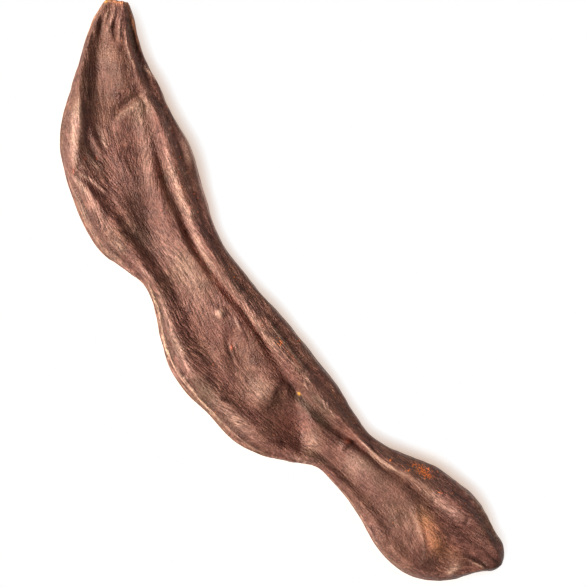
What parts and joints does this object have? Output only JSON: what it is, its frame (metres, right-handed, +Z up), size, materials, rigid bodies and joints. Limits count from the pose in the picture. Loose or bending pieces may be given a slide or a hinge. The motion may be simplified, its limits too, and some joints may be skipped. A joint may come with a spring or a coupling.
{
  "type": "carob pod",
  "caption": "Dried carob pod lying on its side: a long, flat, wavy husk with thick rounded margins, a sunken face, a narrow neck before the tip bulb, a stalk scar and a blunt beak.",
  "frame": {"origin": "on the resting plane, under the middle of the pod's bounding box", "axes": "+X from the stalk scar to the beak, +Y to the outer, hollow side of the pod's bend, +Z up, off the face that the pod lies on"},
  "size_m": [0.1448, 0.0376, 0.0093],
  "materials": {
    "husk": "satin"
  },
  "bodies": {
    "root": {"carob_pod": "husk"}
  },
  "joints": []
}
